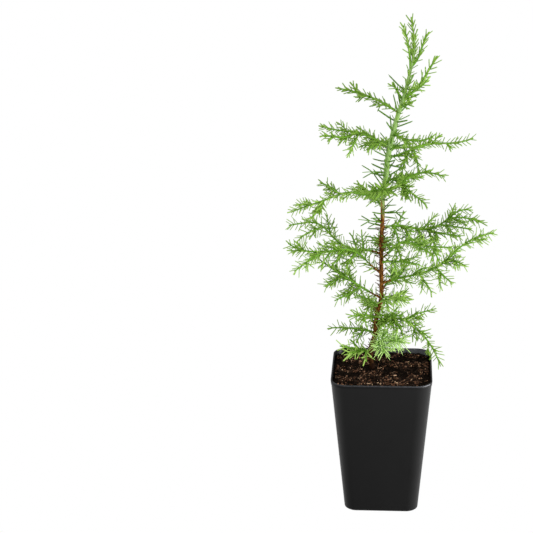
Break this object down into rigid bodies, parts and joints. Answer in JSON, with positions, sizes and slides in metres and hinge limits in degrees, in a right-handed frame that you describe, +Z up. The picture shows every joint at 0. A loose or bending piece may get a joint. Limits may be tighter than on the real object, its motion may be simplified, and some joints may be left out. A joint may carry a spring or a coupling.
{
  "type": "potted arizona cypress",
  "caption": "Young conifer with open, feathery sprays of awl-shaped leaves on one leaning stem, in a tapered square black nursery pot filled with bark mix.",
  "frame": {"origin": "centre of the pot's flat underside, where it stands", "axes": "+Z up along the plant, -Y towards the side that the picture shows, +X to that side's right"},
  "size_m": [0.2085, 0.1122, 0.5092],
  "materials": {
    "pot": "satin black moulded polypropylene",
    "potting_mix": "damp crumbly bark and peat",
    "bark": "thin red-brown bark, green towards the tip",
    "foliage": "soft matt green leaves"
  },
  "bodies": {
    "root": {"pot": "pot", "potting_mix": "potting_mix", "trunk": "bark", "foliage_skirt_left": "foliage", "foliage_skirt_front": "foliage", "foliage_skirt_back": "foliage", "foliage_low_left": "foliage", "foliage_low_front_right": "foliage", "foliage_low_front": "foliage", "bough_low_right": "bark", "foliage_low_right": "foliage", "foliage_low_back": "foliage", "foliage_low_left_second": "foliage", "bough_mid_low_left": "bark", "foliage_mid_low_left": "foliage", "foliage_mid_low_right": "foliage", "foliage_mid_low_front": "foliage", "bough_mid_low_back": "bark", "foliage_mid_low_back": "foliage", "bough_wide_right": "bark", "foliage_wide_right": "foliage", "bough_wide_left": "bark", "foliage_wide_left": "foliage", "foliage_mid_front": "foliage", "bough_mid_right": "bark", "foliage_mid_right": "foliage", "bough_mid_left": "bark", "foliage_mid_left": "foliage", "bough_mid_back": "bark", "foliage_mid_back": "foliage", "bough_high_right": "bark", "foliage_high_right": "foliage", "foliage_high_spur_left": "foliage", "foliage_high_spur_right": "foliage", "bough_high_back_left": "bark", "foliage_high_back_left": "foliage", "bough_high_left": "bark", "foliage_high_left": "foliage", "foliage_high_front": "foliage", "bough_high_right_second": "bark", "foliage_high_right_second": "foliage", "foliage_high_back": "foliage", "foliage_upper_spur_left": "foliage", "bough_upper_right": "bark", "foliage_upper_right": "foliage", "foliage_upper_back_right": "foliage", "bough_upper_left": "bark", "foliage_upper_left": "foliage", "foliage_upper_back": "foliage", "foliage_upper_front": "foliage", "bough_top_left": "bark", "foliage_top_left": "foliage", "foliage_top_front": "foliage", "foliage_top_back": "foliage", "bough_top_right": "bark", "foliage_top_right": "foliage", "foliage_top_spur_left": "foliage", "foliage_crown_left": "foliage", "foliage_crown_right": "foliage", "foliage_crown_back": "foliage"}
  },
  "joints": []
}
